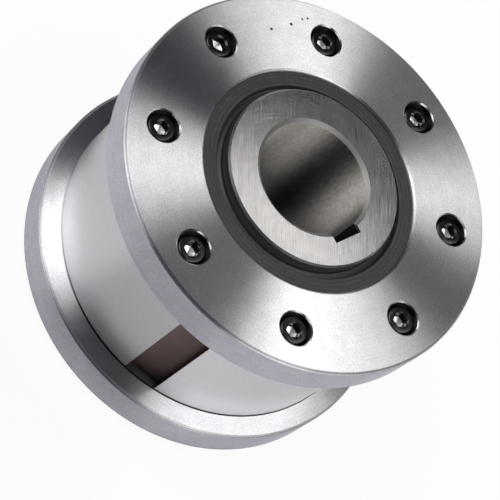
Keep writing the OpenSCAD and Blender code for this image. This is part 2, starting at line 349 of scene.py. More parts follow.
def painted_dark_edges(steel):
    """Painted dark reflections on the rims' chamfers, and painted shade at the rear rim's foot."""
    middle = FLANGE_R - RIM_EDGE / 2
    outer_half = steel.span(steel.radius, middle, FLANGE_R - 0.05 * MM)
    inner_half = steel.span(steel.radius, middle - RIM_EDGE / 2, middle)
    face_side = steel.height > FACE_HEIGHT - RIM_EDGE
    ring_side = steel.height < SEAM_HEIGHT + RIM_EDGE
    foot_top = HUB_TOP - FLANGE_FACE + RIM_EDGE + 0.8 * MM
    # Painted shade on the foot of the rear flange's rim, just above the floor
    foot = (steel.radius > middle) * (steel.z < foot_top)
    return (inner_half * face_side + outer_half * ring_side) * 0.45 + foot * 0.5


def turned_steel(name, colour, rim_colour):
    """Turned flange steel, with fine grooves round the axis, a satin rim and a few pits."""
    steel = Finish(name)
    grooves = steel.rings(0.35 * MM)
    grain = steel.noise(steel.point, 1500.0, roughness=0.7)
    cloud = steel.noise(steel.point, 150.0)
    rim = steel.between(steel.radius, FLANGE_R - 0.1 * MM, FLANGE_R - 0.03 * MM)
    level = steel.spread(grain, 0.52, 1.48) * steel.spread(grooves, 0.84, 1.16)
    level = level * steel.spread(cloud, 0.86, 1.14)
    base = steel.shade(steel.mix(rim, colour, rim_colour), level)
    # Painted shadow in the screw holes and in the ring seams; the pits are dark marks
    base = steel.mix(steel.pits() + screw_holes(steel) + ring_seam_shade(steel), base, SHADOW_GREY)
    return steel.surface(
        Base_Color=steel.mix(painted_dark_edges(steel), base, PAINTED_DARK_GREY),
        Metallic=1.0,
        Roughness=steel.spread(grooves, 0.31, 0.41) - rim * 0.06,
        Anisotropic=1.0,
        Anisotropic_Rotation=0.25,
        Normal=steel.bump(grooves, depth=0.004 * MM, strength=0.6),
    )


def ground_ring(name, colour, floor_colour):
    """The outer ring: ground outside, with a dull brownish floor in its keyway that carries painted
    shade from one wall to the other.
    """
    steel = Finish(name)
    grooves = steel.rings(0.5 * MM, 2.0)
    grain = steel.noise(steel.point, 700.0)
    cloud = steel.noise(steel.point, 160.0, roughness=0.5)
    keyway = (abs(steel.y) < KEYWAY_WIDTH / 2 + 0.06 * MM) * (steel.x < 0)
    keyway = keyway * steel.span(steel.radius, RING_R - KEYWAY_DEPTH, RING_R - 0.15 * MM)
    # Painted shade across the keyway's floor: dark at its wall at -y, light at its wall at +y
    across = steel.spread(steel.y / KEYWAY_WIDTH + 0.5, 0.55, 1.35)
    base = steel.shade(rgba(colour), steel.spread(grain, 0.92, 1.08))
    floor = steel.shade(rgba(floor_colour), steel.spread(cloud, 0.75, 1.25) * across)
    return steel.surface(
        Base_Color=steel.mix(keyway, base, floor),
        Metallic=1.0,
        Roughness=steel.spread(grooves, 0.35, 0.42) + keyway * 0.10,
        Anisotropic=0.2,
        Anisotropic_Rotation=0.25,
        Normal=steel.bump(grooves, depth=0.003 * MM, strength=0.5),
    )


def curved_scratches(steel):
    """Faint scratches in wide arcs over one side of the hub's face, light and dark round 0."""
    x, y = SCRATCH_CENTRE
    beside = steel.vector(steel.x - x, steel.y - y, 0.0)
    reach = steel.vector_maths("LENGTH", beside, output="Value")
    place = steel.vector(reach / (0.35 * MM), steel.x * 45.0, steel.y * 45.0)
    arcs = steel.noise(place) - 0.5
    right = steel.between(steel.x, -12 * MM, 14 * MM)
    return arcs * right * steel.between(steel.y, -6 * MM, 12 * MM)


def ground_lines(steel):
    """Fine straight lines along the way in which the hub's face was ground."""
    along = steel.x * GRIND.x + steel.y * GRIND.y
    across = steel.x * GRIND.y - steel.y * GRIND.x
    return steel.noise(steel.vector(along * 60.0, across * 2200.0, 0.0))


def honed_wall(steel, colour):
    """The honed wall of the shaft bore, with painted shade that makes it darker towards its far
    end.
    """
    place = steel.vector(steel.x * 700.0, steel.y * 700.0, steel.z * 350.0)
    honing = steel.noise(place, detail=4.0, roughness=0.7)
    # Painted shade: the wall grows darker deeper inside the bore
    depth = steel.between(steel.height, MID_Z, MID_Z - 70 * MM)
    level = steel.spread(honing, 0.45, 1.55) * (1 - depth * 0.68)
    return steel.shader(
        Base_Color=steel.shade(rgba(colour), level),
        Metallic=0.95,
        Roughness=steel.spread(honing, 0.50, 0.64),
        Anisotropic=1.0,
        Anisotropic_Rotation=0.25,
        Normal=steel.bump(honing, depth=0.01 * MM, strength=0.4),
    )


def scratched_hub(name, colour, wall_colour, bore_colour):
    """The inner ring: a ground end with fine scratches, a turned nose and a honed bore."""
    steel = Finish(name)
    lines = ground_lines(steel)
    cloud = steel.noise(steel.point, 240.0)
    turned = steel.rings(0.4 * MM, 2.0)
    face = steel.between(steel.height, MID_Z - 0.1 * MM, MID_Z - 0.03 * MM)
    inside = (steel.radius < BORE_R + 5 * MM) * (1 - face)
    chamfer = inside * (steel.height > MID_Z - 1.6 * MM)
    level = steel.spread(lines, 0.40, 1.60) * steel.spread(cloud, 0.80, 1.20)
    level = level * (1 + curved_scratches(steel) * 1.5)
    side = steel.mix(chamfer * steel.spread(cloud, 0.2, 1.2), wall_colour, CHAMFER_STEEL)
    side = steel.mix(inside * (1 - chamfer), side, RECESS_BROWN)
    side = steel.shade(side, steel.spread(turned, 0.8, 1.2))
    ring = steel.shader(
        Base_Color=steel.mix(face, side, steel.shade(rgba(colour), level)),
        Metallic=1.0,
        Roughness=steel.spread(lines, 0.18, 0.28) + (1 - face) * 0.10 + chamfer * 0.16,
        Normal=steel.bump(lines * face, depth=0.004 * MM, strength=0.5),
    )
    bore = steel.radius < BORE_R + 0.1 * MM
    sockets = {0: bore, 1: ring, 2: honed_wall(steel, bore_colour)}
    return steel.finished(steel.node("ShaderNodeMixShader", {}, sockets))


def seal_rubber(name, colour):
    """Nitrile rubber with a dull moulded skin and faint rings."""
    rubber = Finish(name)
    rings = rubber.rings(0.8 * MM, 1.5)
    skin = rubber.noise(rubber.point, 900.0, roughness=0.65)
    patches = rubber.noise(rubber.point, 420.0, detail=2.0, roughness=0.5)
    dust = rubber.between(patches, 0.60, 0.75)
    level = rubber.spread(rings, 0.6, 1.5) * rubber.spread(skin, 0.6, 1.4)
    base = rubber.mix(dust * 0.12, rubber.shade(rgba(colour), level), DUST_GREY)
    return rubber.surface(
        Base_Color=base,
        Roughness=rubber.spread(skin, 0.42, 0.62),
        Specular_IOR_Level=0.45,
        Normal=rubber.bump(rings * 0.6 + skin * 0.4, depth=0.03 * MM, strength=0.5),
    )


def black_oxide(name, colour):
    """Black oxide on the screws, with metal showing through at worn places."""
    oxide = Finish(name)
    skin = oxide.noise(oxide.point, 1500.0)
    worn = oxide.between(oxide.noise(oxide.point, 260.0, roughness=0.5), 0.60, 0.72)
    drilled = oxide.node("ShaderNodeAttribute", {"attribute_name": "drilled"}, {}, "Fac")
    base = oxide.mix(worn * 0.25, colour, WORN_GREY)
    base = oxide.mix(drilled, base, SOCKET_GREY)
    return oxide.surface(
        Base_Color=oxide.shade(base, oxide.spread(skin, 0.8, 1.2)),
        Metallic=1.0,
        Roughness=oxide.spread(skin, 0.22, 0.38),
        Normal=oxide.bump(skin, depth=0.01 * MM, strength=0.3),
    )


def fibre(name, colour):
    """Pressed fibre of the gaskets."""
    felt = Finish(name)
    flecks = felt.noise(felt.point, 1800.0, detail=4.0, roughness=0.7)
    return felt.surface(
        Base_Color=felt.shade(rgba(colour), felt.spread(flecks, 0.6, 1.4)),
        Roughness=felt.spread(flecks, 0.75, 0.92),
        Normal=felt.bump(flecks, depth=0.02 * MM, strength=0.6),
    )


def plain_metal(name, colour, rough):
    """Bearing steel, brass or spring steel: an even polish with slight clouding."""
    metal = Finish(name)
    cloud = metal.noise(metal.point, 900.0)
    return metal.surface(
        Base_Color=metal.shade(rgba(colour), metal.spread(cloud, 0.90, 1.10)),
        Metallic=1.0,
        Roughness=metal.spread(cloud, rough - 0.05, rough + 0.05),
        Normal=metal.bump(cloud, depth=0.002 * MM, strength=0.3),
    )


# Shapes


def add_object(name, data):
    """A new object in the scene."""
    made = bpy.data.objects.new(name, data)
    bpy.context.scene.collection.objects.link(made)
    return made


def add_geometry_socket(tree, direction):
    tree.interface.new_socket("Geometry", in_out=direction, socket_type="NodeSocketGeometry")


def smooth_edges_tree():
    """Joins a solid's loose triangles, and shades it smooth but for its sharp edges."""
    tree = bpy.data.node_groups.get(SMOOTHING)
    if tree:
        return tree
    tree = bpy.data.node_groups.new(SMOOTHING, "GeometryNodeTree")
    graph = Graph(tree)
    add_geometry_socket(tree, "INPUT")
    sharp = tree.interface.new_socket("Sharp Angle", in_out="INPUT", socket_type="NodeSocketFloat")
    sharp.default_value = SHARP_EDGE
    add_geometry_socket(tree, "OUTPUT")
    given = graph.node("NodeGroupInput", {}, {}, "Geometry")
    sockets = {"Geometry": given, "Distance": SAME_PLACE}
    joined = graph.node("GeometryNodeMergeByDistance", {}, sockets)
    bend = graph.node("GeometryNodeInputMeshEdgeAngle", {}, {}, "Unsigned Angle")
    soft = bend < given.output("Sharp Angle")
    faces = graph.node("GeometryNodeSetShadeSmooth", {"domain": "FACE"}, {"Geometry": joined})
    sockets = {"Geometry": faces, "Shade Smooth": soft}
    edges = graph.node("GeometryNodeSetShadeSmooth", {"domain": "EDGE"}, sockets)
    graph.node("NodeGroupOutput", {}, {0: edges})
    return tree


def dress(node, material):
    """Gives a CAD node its material and its smooth shading."""
    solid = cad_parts[node]
    solid.data.materials.clear()
    solid.data.materials.append(material)
    shading = solid.modifiers.new(SMOOTHING, "NODES")
    shading.node_group = smooth_edges_tree()


def new_piece(name, mesh, material, body, node):
    """Puts a finished mesh into the scene on its body, in place of a CAD node."""
    mesh.name = name
    mesh.materials.clear()
    mesh.materials.append(material)
    piece = add_object(name, mesh)
    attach(piece, body)
    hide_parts(node)
    return piece


def end_piece(end, name, mesh, material, node):
    """Puts a mesh made for the front end on its own end, in place of a node of that end."""
    if end == "rear":
        middle = Matrix.Translation((0, 0, MID_Z))
        mesh.transform(middle @ Matrix.Rotation(math.pi, 4, "X") @ middle.inverted())
    return new_piece(f"{end}_{name}", mesh, material, OUTER_BODY, f"{end}_{node}")


def mesh_of(name, points, faces, sharp=SHARP_EDGE):
    """A smooth mesh with its sharp edges marked."""
    mesh = bpy.data.meshes.new(name)
    mesh.from_pydata(points, [], faces)
    mesh.validate()
    mesh.polygons.foreach_set("use_smooth", [True] * len(mesh.polygons))
    mesh.set_sharp_from_angle(angle=sharp)
    return mesh


def lathe(name, outline, steps):
    """A ring turned from a closed outline of (radius, z) points, drawn anticlockwise."""
    points = [
        (r * math.cos(TURN * i / steps), r * math.sin(TURN * i / steps), z)
        for i in range(steps)
        for r, z in outline
    ]
    count = len(outline)
    faces = []
    for i in range(steps):
        here, ahead = i * count, (i + 1) % steps * count
        for j in range(count):
            k = (j + 1) % count
            faces.append((here + j, ahead + j, ahead + k, here + k))
    return mesh_of(name, points, faces)


class GeometryTree(Graph):
    """A tree of geometry nodes, with named inputs for its sizes."""

    KINDS = {int: "NodeSocketInt", float: "NodeSocketFloat"}

    def __init__(self, name, **sizes):
        super().__init__(bpy.data.node_groups.new(name, "GeometryNodeTree"))
        self.sockets = {}
        self.sizes = sizes
        for size, value in sizes.items():
            kind = self.KINDS.get(type(value), "NodeSocketObject")
            made = self.tree.interface.new_socket(size, in_out="INPUT", socket_type=kind)
            self.sockets[size] = made.identifier
        add_geometry_socket(self.tree, "OUTPUT")
        self.given = self.node("NodeGroupInput", {}, {})

    def size(self, name):
        return self.given.output(self.sockets[name])

    def finish_with(self, geometry, material):
        """Ends the tree with plain geometry in its material."""
        real = self.node("GeometryNodeRealizeInstances", {}, {0: geometry})
        sockets = {"Geometry": real, "Material": material}
        painted = self.node("GeometryNodeSetMaterial", {}, sockets)
        self.node("NodeGroupOutput", {}, {0: painted})

    def made_mesh(self):
        """Runs the tree with its sizes, and returns the result as a plain mesh."""
        holder = add_object("holder", bpy.data.meshes.new("holder"))
        modifier = holder.modifiers.new(self.tree.name, "NODES")
        modifier.node_group = self.tree
        for size, value in self.sizes.items():
            modifier[self.sockets[size]] = value
        bpy.context.view_layer.update()
        graph = bpy.context.evaluated_depsgraph_get()
        mesh = bpy.data.meshes.new_from_object(holder.evaluated_get(graph))
        holder.modifiers.clear()
        bpy.data.objects.remove(holder)
        return mesh


def hexagon(apothem, angle):
    """Radius of a hexagon at an angle."""
    side = math.radians(60)
    return apothem / math.cos(angle % side - side / 2)


def screw_outline(sizes, angles):
    """Rings of (radius, z) from the bottom of the socket, over the head and down the thread."""
    head, top, half_socket = sizes.head_radius, sizes.head_height, sizes.socket / 2
    thread, knurl = sizes.thread_radius, 0.2 * MM
    thread_depth, rows_per_turn = 0.62 * sizes.pitch, 4
    socket_floor = top - sizes.socket_depth
    socket_corner = half_socket / math.cos(math.radians(30))

    def ring(radius, z):
        return [(radius(a, i) if callable(radius) else radius, z) for i, a in enumerate(angles)]

    def socket(a, i):
        return hexagon(half_socket, a)

    def socket_foot(a, i):
        return hexagon(half_socket - 0.35 * MM, a)

    def teeth(a, i):
        return head - knurl * (i % 2)

    rings = [
        ring(0.3 * MM, socket_floor - 0.9 * MM),
        ring(socket_foot, socket_floor),
        ring(socket, socket_floor + 0.1 * MM),
        ring(socket, top - 0.45 * MM),
        ring(socket_corner + 0.3 * MM, top - 0.08 * MM),
        ring(socket_corner + 0.4 * MM, top),
        ring(head - 1.05 * MM, top),
        ring(head - 0.9 * MM, top - 0.05 * MM),
        ring(head - 0.25 * MM, top - 0.6 * MM),
        ring(head - 0.05 * MM, top - 0.9 * MM),
        ring(head - knurl, top - 1.0 * MM),
        ring(teeth, top - 1.3 * MM),
        ring(teeth, 1.1 * MM),
        ring(head - knurl, 0.8 * MM),
        ring(head - knurl, 0.25 * MM),
        ring(head - 0.5 * MM, 0.0),
        ring(thread + 0.35 * MM, 0.0),
        ring(thread, -0.35 * MM),
    ]
    start, rise = -1.0 * MM, sizes.pitch / rows_per_turn
    for row in range(int((sizes.length - 2.0 * MM) / rise)):

        def flank(a, i, row=row):
            turn = (row / rows_per_turn + a / TURN) % 1.0
            return thread - thread_depth * (1 - abs(2 * turn - 1))

        rings.append(ring(flank, start - row * rise))
    rings.append(ring(thread - thread_depth, -sizes.length + 0.8 * MM))
    rings.append(ring(thread - 1.3 * MM, -sizes.length))
    return rings


def screw_mesh(sizes):
    """A socket head cap screw that stands on its seat at Z = 0, with its thread below."""
    steps = 60
    angles = [TURN * i / steps for i in range(steps)]
    rings = screw_outline(sizes, angles)
    points = [
        (r * math.cos(a), r * math.sin(a), z)
        for made in rings
        for a, (r, z) in zip(angles, made)
    ]
    faces = [tuple(range(steps))]
    for j in range(len(rings) - 1):
        for i in range(steps):
            k = (i + 1) % steps
            here, ahead = j * steps, (j + 1) * steps
            faces.append((here + i, ahead + i, ahead + k, here + k))
    last = (len(rings) - 1) * steps
    faces.append(tuple(last + i for i in reversed(range(steps))))
    mesh = mesh_of("socket_screw", points, faces, SHARP_THREAD)
    drilled = mesh.attributes.new("drilled", "FLOAT", "POINT")
    drilled.data.foreach_set("value", [float(i < 2 * steps) for i in range(len(points))])
    return mesh


def screws_round_shaft(pattern, count, circle, first, height, material):
    """Copies of one screw on a circle, each with its socket turned another way."""
    tree = GeometryTree(
        "Screws round the shaft",
        Screw=pattern,
        Count=count,
        Circle=circle,
        First=first,
        Height=height,
    )
    sockets = {"Vertices": tree.size("Count"), "Radius": tree.size("Circle")}
    places = tree.node("GeometryNodeMeshCircle", {}, sockets)
    sockets = {
        "Geometry": places,
        "Translation": tree.vector(0.0, 0.0, tree.size("Height")),
        "Rotation": tree.vector(0.0, 0.0, tree.size("First")),
    }
    places = tree.node("GeometryNodeTransform", {}, sockets)
    turned = tree.node("FunctionNodeRandomValue", {}, {"Max_001": TURN, "Seed": 4}, "Value_001")
    screw = tree.node("GeometryNodeObjectInfo", {}, {"Object": tree.size("Screw")}, "Geometry")
    sockets = {
        "Points": places,
        "Instance": screw,
        "Rotation": tree.vector(0.0, 0.0, turned),
    }
    copies = tree.node("GeometryNodeInstanceOnPoints", {}, sockets)
    tree.finish_with(copies, material)
    return tree.made_mesh()


def coil_mesh(turns, radius, wire, length, material):
    """A compression spring along +Z from Z = 0, with its first and last turns closed."""
    steps = 28
    tree = GeometryTree("Coil", Turns=float(turns), Radius=radius, Wire=wire, Length=length)
    count = tree.size("Turns") * steps
    line = tree.node("GeometryNodeCurvePrimitiveLine", {}, {})
    line = tree.node("GeometryNodeResampleCurve", {}, {"Curve": line, "Count": count})
    index = tree.node("GeometryNodeInputIndex", {}, {})
    wind = index * (TURN / steps)
    sockets = {
        "Value": index,
        "From Min": float(steps),
        "From Max": count - steps,
        "To Min": tree.size("Wire"),
        "To Max": tree.size("Length") - tree.size("Wire"),
    }
    rise = tree.node("ShaderNodeMapRange", {}, sockets)
    place = tree.vector(
        tree.size("Radius") * wind.maths("COSINE", wind),
        tree.size("Radius") * wind.maths("SINE", wind),
        rise,
    )
    path = tree.node("GeometryNodeSetPosition", {}, {"Geometry": line, "Position": place})
    tree.finish_with(swept(tree, path, tree.size("Wire"), 10, True), material)
    return tree.made_mesh()


def swept(tree, path, wire, sides, capped):
    """A wire of round section along a curve."""
    sockets = {"Resolution": sides, "Radius": wire}
    section = tree.node("GeometryNodeCurvePrimitiveCircle", {}, sockets)
    sockets = {"Curve": path, "Profile Curve": section, "Fill Caps": capped}
    tube = tree.node("GeometryNodeCurveToMesh", {}, sockets)
    return tree.node("GeometryNodeSetShadeSmooth", {}, {"Geometry": tube})


def garter_mesh(sizes, height, material):
    """A close coil bent round into a ring."""
    steps = 10
    tree = GeometryTree(
        "Garter",
        Ring=sizes.garter_ring,
        Coil=sizes.garter_coil,
        Wire=sizes.garter_wire,
        Turns=sizes.garter_turns,
        Height=height,
    )
    count = tree.size("Turns") * steps
    circle = tree.node("GeometryNodeCurvePrimitiveCircle", {}, {"Resolution": count})
    index = tree.node("GeometryNodeInputIndex", {}, {})
    around = index * TURN / count
    wind = index * (TURN / steps)
    out = tree.size("Ring") + tree.size("Coil") * wind.maths("COSINE", wind)
    place = tree.vector(
        out * around.maths("COSINE", around),
        out * around.maths("SINE", around),
        tree.size("Height") + tree.size("Coil") * wind.maths("SINE", wind),
    )
    path = tree.node("GeometryNodeSetPosition", {}, {"Geometry": circle, "Position": place})
    tree.finish_with(swept(tree, path, tree.size("Wire"), 5, False), material)
    return tree.made_mesh()


def seal_outline(top):
    """Section of a shaft seal with rings moulded on its face, as (radius, z) points."""
    lip = JOURNAL_R + 0.1 * MM
    ring_places = (48.7, 46.9, 45.1)
    face = [(SEAL_R, 0.55), (SEAL_R - 0.15 * MM, 0.25), (SEAL_R - 0.45 * MM, 0.14)]
    for place in ring_places:
        for step, depth in ((0.22, 0.14), (0.1, 0.0), (-0.1, 0.0), (-0.22, 0.14)):
            face.append(((place + step) * MM, depth))
    throat = [
        (43.8 * MM, 0.14),
        (43.5 * MM, 0.35),
        (43.3 * MM, 1.4),
        (42.9 * MM, 2.6),
        (42.3 * MM, 2.75),
        (40.9 * MM, 1.9),
        (40.5 * MM, 1.95),
        (lip, 2.35),
        (lip, 2.9),
        (42.2 * MM, 3.6),
        (42.2 * MM, 4.6),
        (lip, 7.1),
        (lip, 7.3),
        (42.2 * MM, 9.3),
        (43.0 * MM, 9.3),
    ]
    garter_r, garter_depth, groove = 44.1, 7.2, 1.15
    angles = [math.radians(-100 + step * 25) for step in range(9)]
    cup = [
        ((garter_r - groove * math.cos(angle)) * MM, garter_depth - groove * math.sin(angle))
        for angle in angles
    ]
    back = [
        (44.75 * MM, 5.6),
        (45.0 * MM, 3.2),
        (47.5 * MM, 3.2),
        (47.5 * MM, 10.0),
        (SEAL_R - 0.4 * MM, 10.0),
        (SEAL_R, 9.6),
    ]
    outline = face + throat + cup + back
    return [(r, top - depth * MM) for r, depth in outline]


def way_to(azimuth, elevation):
    """The way from the clutch to an azimuth from +X and an elevation, in radians."""
    level = math.cos(elevation)
    return Vector((level * math.cos(azimuth), level * math.sin(azimuth), math.sin(elevation)))


def looking_back(way):
    """The turn of a camera or a lamp that looks back along a way."""
    return way.to_track_quat("Z", "Y").to_matrix().to_4x4()


def add_camera(stage):
    """The camera at the photograph's place, turned about its own axis as the photograph is."""
    data = bpy.data.cameras.new("photo_camera")
    data.lens = stage.lens
    data.clip_start = 0.05
    data.clip_end = 50.0
    camera = add_object("photo_camera", data)
    turn = looking_back(way_to(stage.azimuth, stage.elevation))
    roll = Matrix.Rotation(stage.roll, 4, "Z")
    camera.matrix_world = Matrix.Translation(Vector(stage.location)) @ turn @ roll
    bpy.context.scene.camera = camera


def soft_light(name, size, power):
    """A soft oblong light that the camera doesn't see."""
    data = bpy.data.lights.new(name, "AREA")
    data.shape = "RECTANGLE"
    data.size, data.size_y = size
    data.energy = power
    light = add_object(name, data)
    light.visible_camera = False
    return light


def add_lamp(name, azimuth, elevation, distance, size, power):
    """A lamp that faces the clutch."""
    lamp = soft_light(name, size, power)
    way = way_to(math.radians(azimuth), math.radians(elevation))
    place = Matrix.Translation(Vector((0, 0, MID_Z)) + way * distance)
    lamp.matrix_world = place @ looking_back(way)


def add_card(stage):
    """A small soft card close over the hub. Its lower edge shades the hub's reflection."""
    card = soft_light("hub_card", stage.card_size, stage.card_power)
    card.data.color = CARD_WHITE
    top = Vector((0, 0, HUB_TOP))
    seen = Vector(stage.location) - top
    mirrored = Vector((-seen.x, -seen.y, seen.z)).normalized()
    across = mirrored.cross(Vector((0, 0, 1))).normalized()
    up = across.cross(mirrored)
    level = Matrix((across, up, mirrored)).transposed().to_4x4()
    turn = level @ Matrix.Rotation(-stage.card_roll, 4, "Z")
    lift = turn @ Vector((0, stage.card_size[1] / 2 + stage.card_lift, 0))
    card.matrix_world = Matrix.Translation(top + mirrored * stage.card_distance + lift) @ turn


def add_world(stage):
    """A soft grey studio that the camera sees as white."""
    world = bpy.data.worlds.new("studio")
    world.use_nodes = True
    bpy.context.scene.world = world
    graph = Graph(world.node_tree)
    path = graph.node("ShaderNodeLightPath", {}, {}, "Is Camera Ray")
    around = graph.node("ShaderNodeBackground", {}, {"Color": rgba(stage.studio_grey)})
    white = graph.node("ShaderNodeBackground", {}, {"Color": rgba(1.0)})
    mixed = graph.node("ShaderNodeMixShader", {}, {0: path, 1: around, 2: white})
    graph.node("ShaderNodeOutputWorld", {}, {"Surface": mixed})


def front_shade(graph, point, reach, stage):
    """Soft shade on the floor close in front of the clutch, which its drum mirrors."""
    front = Vector((*stage.location[:2], 0)).normalized()
    way = graph.vector_maths("NORMALIZE", point)
    facing = graph.vector_maths("DOT_PRODUCT", way, front, output="Value")
    shade = graph.between(facing, *SHADE_FACING) * stage.front_shade
    near = graph.between(reach, *SHADE_STARTS)
    return shade * near * (1 - graph.between(reach, *SHADE_ENDS))


def add_floor(stage):
    """A plain pale floor. The camera sees it almost white, with a trace of the shadow."""
    half = FLOOR_HALF
    corners = [(-half, -half), (half, -half), (half, half), (-half, half)]
    mesh = bpy.data.meshes.new("floor")
    mesh.from_pydata([(x, y, FLOOR_Z) for x, y in corners], [], [(0, 1, 2, 3)])
    paint = bpy.data.materials.new("floor_paint")
    paint.use_nodes = True
    graph = Graph(paint.node_tree)
    camera_ray = graph.node("ShaderNodeLightPath", {}, {}, "Is Camera Ray")
    glossy_ray = camera_ray.output("Is Glossy Ray")
    point = graph.node("ShaderNodeTexCoord", {}, {}, "Object")
    reach = graph.vector_maths("LENGTH", point, output="Value")
    shade = front_shade(graph, point, reach, stage)
    in_metal = (reach > FLANGE_R) * stage.floor_in_metal * (1 - shade)
    seen_white = camera_ray * FLOOR_WHITE + glossy_ray * in_metal
    pale = graph.mix(shade, stage.floor_colour, SHADED_FLOOR)
    plain = graph.node("ShaderNodeBsdfDiffuse", {}, {"Color": pale})
    white = graph.node("ShaderNodeEmission", {}, {"Color": rgba(1.0), "Strength": 1.0})
    mixed = graph.node("ShaderNodeMixShader", {}, {0: seen_white, 1: plain, 2: white})
    graph.node("ShaderNodeOutputMaterial", {}, {"Surface": mixed})
    mesh.materials.append(paint)
    add_object("floor", mesh)


# Sizes and colours that a user would change


def colour_property(name, description, default):
    return bpy.props.FloatVectorProperty(
        name=name, description=description, default=default, subtype="COLOR", size=3, min=0, max=1
    )


def length_property(name, description, millimetres):
    return bpy.props.FloatProperty(
        name=name, description=description, default=millimetres * MM, unit="LENGTH", precision=5
    )


def angle_property(name, description, degrees):
    return bpy.props.FloatProperty(
        name=name, description=description, default=math.radians(degrees), subtype="ANGLE"
    )


def number_property(name, description, default):
    return bpy.props.FloatProperty(name=name, description=description, default=default)


def count_property(name, description, default):
    return bpy.props.IntProperty(name=name, description=description, default=default)


class ClutchFinish(bpy.types.PropertyGroup):
    """Colours of the clutch."""

    steel: colour_property("Flange steel", "Turned faces of the flanges", (0.64, 0.64, 0.655))
    rim: colour_property("Flange rim", "Satin rim of the flanges", (0.50, 0.487, 0.548))
    drum: colour_property("Outer ring", "Ground outside of the outer ring", (0.655, 0.645, 0.665))
    keyway: colour_property("Keyway", "Floor of the outer ring's keyway", (0.150, 0.105, 0.100))
    hub: colour_property("Hub face", "Ground end of the inner ring", (0.56, 0.56, 0.562))
    nose: colour_property("Nose", "Turned side of the inner ring", (0.52, 0.50, 0.48))
    bore: colour_property("Bore", "Honed wall of the shaft bore", (0.465, 0.436, 0.406))
    rubber: colour_property("Seal", "Rubber of the shaft seals", (0.026, 0.026, 0.027))
    oxide: colour_property("Screws", "Black oxide on the screws", (0.035, 0.035, 0.038))
    gasket: colour_property("Gaskets", "Fibre of the gaskets", (0.05, 0.048, 0.045))
    bearing: colour_property("Bearing steel", "Races, balls and rollers", (0.66, 0.66, 0.67))
    cage: colour_property("Cages", "Brass of the ball cages", (0.62, 0.44, 0.17))
    spring: colour_property("Springs", "Spring steel", (0.42, 0.42, 0.43))
    plunger: colour_property("Plungers", "Drawn steel of the plungers", (0.34, 0.335, 0.33))


class ClutchScrews(bpy.types.PropertyGroup):
    """Sizes of the flange screws."""

    count: count_property("Screws", "Screws in each flange", 8)
    circle: length_property("Circle", "Radius of the screw circle", 68.5)
    first: angle_property("First angle", "Angle from +X to the first screw", 22.5)
    head_radius: length_property("Head radius", "Radius of the head", 6.5)
    head_height: length_property("Head height", "Height of the head", 8)
    pitch: length_property("Pitch", "Pitch of the thread", 1.25)
    socket: length_property("Socket", "Hexagon socket, across the flats", 6)
    socket_depth: length_property("Socket depth", "Depth of the socket", 4)
    length: length_property("Length", "Length under the head", 25)
    thread_radius: length_property("Thread radius", "Radius of the thread", 4)


class ClutchSprings(bpy.types.PropertyGroup):
    """Sizes of the springs behind the plungers and inside the seals."""

    plunger_wire: length_property("Plunger spring wire", "Radius of the wire", 0.35)
    plunger_turns: number_property("Plunger spring turns", "Turns of each plunger spring", 9)
    garter_ring: length_property("Garter ring", "Radius of the garter spring's ring", 44.1)
    garter_coil: length_property("Garter coil", "Radius of its coil, to the wire", 0.76)
    garter_wire: length_property("Garter wire", "Radius of its wire", 0.24)
    garter_turns: count_property("Garter turns", "Turns of each garter spring", 400)


class ClutchStage(bpy.types.PropertyGroup):
    """Camera, floor and light."""

    location: bpy.props.FloatVectorProperty(
        name="Camera place",
        description="Where the photograph was taken from",
        default=(-0.519913, 0.148902, 0.771932),
        subtype="TRANSLATION",
    )
    azimuth: angle_property("Azimuth", "Way to the camera, from +X", 163.2278)
    elevation: angle_property("Elevation", "Height of the camera", 53.4132)
    roll: angle_property("Roll", "Turn of the camera about its axis", 52.2595)
    lens: number_property("Lens", "Focal length in millimetres", 149.39)
    floor_colour: colour_property("Floor", "Plain pale floor", (0.80, 0.80, 0.80))
    floor_in_metal: number_property("Floor in metal", "White that metal sees in the floor", 0.42)
    front_shade: number_property("Front shade", "Depth of the shade before the clutch", 0.60)
    card_size: bpy.props.FloatVectorProperty(
        name="Card",
        description="Width and height of the card",
        default=(0.11, 0.05),
        size=2,
        unit="LENGTH",
    )
    card_distance: length_property("Card distance", "From the hub to the card", 300)
    card_lift: length_property("Card lift", "Lower edge above the hub's reflection", 13)
    card_roll: angle_property("Card roll", "Slope of the card's lower edge", 12)
    card_power: number_property("Card power", "Power of the card, in watts", 0.031)
    studio_grey: colour_property("Studio", "Light from all round", (0.014, 0.017, 0.028))


# Pieces


class CLUTCH_OT_flanges(bpy.types.Operator):
    """Finish the turned faces and satin rims of both flanges"""

    bl_idname = "clutch.flanges"
    bl_label = "Flanges"

    def execute(self, context):
        steel = turned_steel("turned_steel", chosen("steel"), chosen("rim"))
        for end in ENDS:
            dress(f"{end}_flange", steel)
        return {"FINISHED"}


class CLUTCH_OT_outer_ring(bpy.types.Operator):
    """Finish the ground outer ring and its keyway"""

    bl_idname = "clutch.outer_ring"
    bl_label = "Outer ring"

    def execute(self, context):
        steel = ground_ring("ground_ring", chosen("drum"), chosen("keyway"))
        dress("outer_ring", steel)
        return {"FINISHED"}


class CLUTCH_OT_inner_ring(bpy.types.Operator):
    """Finish the scratched end, the nose and the bore of the inner ring"""

    bl_idname = "clutch.inner_ring"
    bl_label = "Inner ring"

    def execute(self, context):
        steel = scratched_hub(
            "scratched_hub", chosen("hub"), chosen("nose"), chosen("bore")
        )
        dress("inner_ring", steel)
        return {"FINISHED"}


